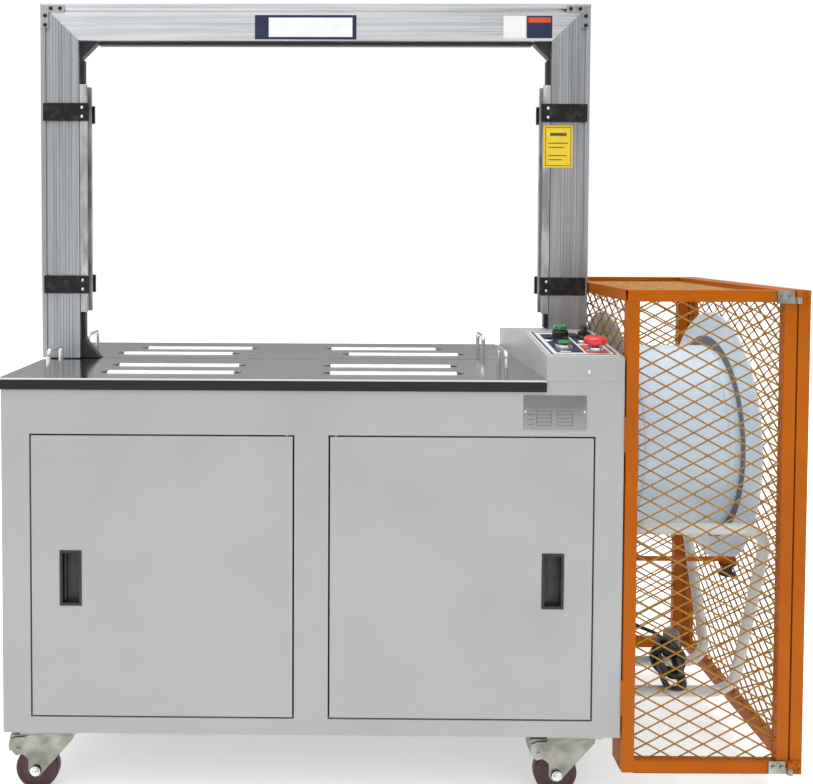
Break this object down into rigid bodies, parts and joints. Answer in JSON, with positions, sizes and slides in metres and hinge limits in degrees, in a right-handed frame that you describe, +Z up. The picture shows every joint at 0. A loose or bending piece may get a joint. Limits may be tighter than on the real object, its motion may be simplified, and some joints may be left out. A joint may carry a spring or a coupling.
{
  "type": "arch strapping machine",
  "caption": "Floor-standing arch strapping machine: white cabinet on casters, polished lift-off table plates with rollers, aluminium arch, sloped console, caged strap reel.",
  "frame": {"origin": "on the floor, at the middle of the machine's footprint, without the power cord", "axes": "+X to the operator's right (console and reel cage side), +Y away from the operator, +Z up"},
  "size_m": [1.375, 0.5766, 1.422],
  "materials": {
    "white_sheet": "satin powder coat, white",
    "bare_structure": "satin grey paint",
    "polished_plate": "polished stainless steel",
    "roller_steel": "ground and plated",
    "arch_extrusion": "clear anodised",
    "black_plate": "satin black",
    "black_plastic": "moulded black",
    "guard_bar_metal": "satin anodised",
    "fasteners": "blackened and zinc-plated",
    "panel_sheet": "printed overlay, satin",
    "red_button": "moulded red",
    "green_button": "moulded green",
    "cage_tube": "orange powder coat",
    "cage_mesh": "orange powder coat",
    "reel_paint": "moulded, off-white",
    "reel_stand_steel": "turned steel",
    "hoop_paint": "off-white powder coat",
    "orange_arm": "orange paint",
    "zinc_pressing": "bright zinc plate",
    "wheel_tread": "maroon polyurethane",
    "machine_steel": "milled",
    "feed_rubber": "knurled and rubber faced",
    "motor_paint": "blue-grey enamel",
    "pool_sheet": "galvanised sheet",
    "cord_jacket": "black cable jacket",
    "plug_moulding": "grey moulded plug"
  },
  "bodies": {
    "root": {"cabinet_left_panel": "white_sheet", "cabinet_right_panel": "white_sheet", "cabinet_back_panel": "white_sheet", "cabinet_front_frame": "white_sheet", "console_housing": "white_sheet", "console_rear_cover": "white_sheet", "cabinet_floor": "bare_structure", "cabinet_deck": "bare_structure", "arch_left_leg": "arch_extrusion", "arch_right_leg": "arch_extrusion", "arch_top_beam": "arch_extrusion", "arch_corner_plates": "arch_extrusion", "guard_clamps": "black_plate", "strap_guides": "black_plastic", "cord_gland": "black_plastic", "control_bezels": "black_plastic", "guard_bars": "guard_bar_metal", "arch_bolts": "fasteners", "hinge_hardware": "fasteners", "console_panel": "panel_sheet", "cage_frame": "cage_tube", "cage_mesh_panels": "cage_mesh", "reel_stand": "reel_stand_steel", "reel_guard_hoops": "hoop_paint", "caster_mounts": "zinc_pressing", "sealing_head": "machine_steel", "drive_motor": "motor_paint", "strap_pool_box": "pool_sheet", "power_cord": "cord_jacket", "cord_hank": "cord_jacket", "cord_plug": "plug_moulding"},
    "left_door_leaf": {"left_door": "white_sheet", "left_door_pull": "black_plastic"},
    "right_door_leaf": {"right_door": "white_sheet", "right_door_pull": "black_plastic"},
    "cage_door": {"cage_door_frame": "cage_tube", "cage_door_mesh": "cage_mesh"},
    "front_plate": {"table_front_plate": "polished_plate", "front_plate_handles": "roller_steel"},
    "rear_plate": {"table_rear_plate": "polished_plate", "rear_plate_handles": "roller_steel"},
    "roller_row_1": {"table_rollers_1": "roller_steel"},
    "roller_row_2": {"table_rollers_2": "roller_steel"},
    "roller_row_3": {"table_rollers_3": "roller_steel"},
    "roller_row_4": {"table_rollers_4": "roller_steel"},
    "reel": {"reel_drum": "reel_paint", "reel_flanges": "reel_paint"},
    "dancer_arm": {"brake_arm": "orange_arm"},
    "estop": {"estop_button": "red_button"},
    "power": {"power_button": "green_button"},
    "feed": {"feed_button": "green_button"},
    "mode": {"mode_knob": "black_plastic"},
    "front_left_swivel": {"front_left_fork": "zinc_pressing"},
    "front_right_swivel": {"front_right_fork": "zinc_pressing"},
    "front_left_roll": {"front_left_wheel": "wheel_tread"},
    "front_right_roll": {"front_right_wheel": "wheel_tread"},
    "rear_left_roll": {"rear_left_wheel": "wheel_tread"},
    "rear_right_roll": {"rear_right_wheel": "wheel_tread"},
    "feed_drive": {"feed_roller": "feed_rubber"},
    "feed_pinch": {"pinch_roller": "feed_rubber"}
  },
  "joints": [
    {"name": "left_door_hinge", "type": "hinge", "parent": "root", "child": "left_door_leaf", "pos_m": [-0.1935, -0.26865, 0.386], "axis": [0, 0, 1], "range_deg": [0, 90]},
    {"name": "right_door_hinge", "type": "hinge", "parent": "root", "child": "right_door_leaf", "pos_m": [-0.1095, -0.26865, 0.386], "axis": [0, 0, -1], "range_deg": [0, 90]},
    {"name": "cage_door_hinge", "type": "hinge", "parent": "root", "child": "cage_door", "pos_m": [0.666, -0.28365, 0.47], "axis": [0, 0, -1], "range_deg": [0, 110]},
    {"name": "front_plate_lift", "type": "slide", "parent": "root", "child": "front_plate", "axis": [0, 0, 1], "range_m": [0, 0.085]},
    {"name": "rear_plate_lift", "type": "slide", "parent": "root", "child": "rear_plate", "axis": [0, 0, 1], "range_m": [0, 0.085]},
    {"name": "roller_row_1_spin", "type": "hinge", "parent": "front_plate", "child": "roller_row_1", "pos_m": [-0.4035, -0.19865, 0.718], "axis": [1, 0, 0], "continuous": true},
    {"name": "roller_row_2_spin", "type": "hinge", "parent": "front_plate", "child": "roller_row_2", "pos_m": [-0.4035, -0.10065, 0.718], "axis": [1, 0, 0], "continuous": true},
    {"name": "roller_row_3_spin", "type": "hinge", "parent": "rear_plate", "child": "roller_row_3", "pos_m": [-0.4035, 0.08635, 0.718], "axis": [1, 0, 0], "continuous": true},
    {"name": "roller_row_4_spin", "type": "hinge", "parent": "rear_plate", "child": "roller_row_4", "pos_m": [-0.4035, 0.18435, 0.718], "axis": [1, 0, 0], "continuous": true},
    {"name": "reel_spin", "type": "hinge", "parent": "root", "child": "reel", "pos_m": [0.5185, -0.00665, 0.586], "axis": [1, 0, 0], "continuous": true},
    {"name": "dancer_arm_swing", "type": "hinge", "parent": "root", "child": "dancer_arm", "pos_m": [0.3935, -0.17865, 0.395], "axis": [0, 1, 0], "range_deg": [0, 15], "stiffness_Nm_per_rad": 1.5, "springref_deg": -28.65},
    {"name": "estop_press", "type": "slide", "parent": "root", "child": "estop", "axis": [0, 0.1059, -0.9944], "range_m": [0, 0.004], "stiffness_N_per_m": 800, "springref_m": -0.004},
    {"name": "power_press", "type": "slide", "parent": "root", "child": "power", "axis": [0, 0.1059, -0.9944], "range_m": [0, 0.003], "stiffness_N_per_m": 500, "springref_m": -0.003},
    {"name": "feed_press", "type": "slide", "parent": "root", "child": "feed", "axis": [0, 0.1059, -0.9944], "range_m": [0, 0.003], "stiffness_N_per_m": 500, "springref_m": -0.003},
    {"name": "mode_turn", "type": "hinge", "parent": "root", "child": "mode", "pos_m": [0.344, -0.12869, 0.78705], "axis": [0, -0.1059, 0.9944], "range_deg": [-45, 45]},
    {"name": "front_left_caster_swivel", "type": "hinge", "parent": "root", "child": "front_left_swivel", "pos_m": [-0.6055, -0.23665, 0.1], "axis": [0, 0, 1], "continuous": true},
    {"name": "front_left_wheel_spin", "type": "hinge", "parent": "front_left_swivel", "child": "front_left_roll", "pos_m": [-0.6325, -0.23665, 0.0375], "axis": [0, 1, 0], "continuous": true},
    {"name": "front_right_caster_swivel", "type": "hinge", "parent": "root", "child": "front_right_swivel", "pos_m": [0.3025, -0.23665, 0.1], "axis": [0, 0, 1], "continuous": true},
    {"name": "front_right_wheel_spin", "type": "hinge", "parent": "front_right_swivel", "child": "front_right_roll", "pos_m": [0.2755, -0.23665, 0.0375], "axis": [0, 1, 0], "continuous": true},
    {"name": "rear_left_wheel_spin", "type": "hinge", "parent": "root", "child": "rear_left_roll", "pos_m": [-0.6325, 0.24635, 0.0375], "axis": [0, 1, 0], "continuous": true},
    {"name": "rear_right_wheel_spin", "type": "hinge", "parent": "root", "child": "rear_right_roll", "pos_m": [0.2755, 0.24635, 0.0375], "axis": [0, 1, 0], "continuous": true},
    {"name": "feed_drive_spin", "type": "hinge", "parent": "root", "child": "feed_drive", "pos_m": [-0.1415, 0.00485, 0.605], "axis": [0, 1, 0], "continuous": true},
    {"name": "feed_pinch_spin", "type": "hinge", "parent": "root", "child": "feed_pinch", "pos_m": [-0.0931, 0.00485, 0.605], "axis": [0, 1, 0], "continuous": true}
  ],
  "couplings": [
    {"joint": "feed_pinch_spin", "follows": "feed_drive_spin", "ratio": -1.6667}
  ]
}
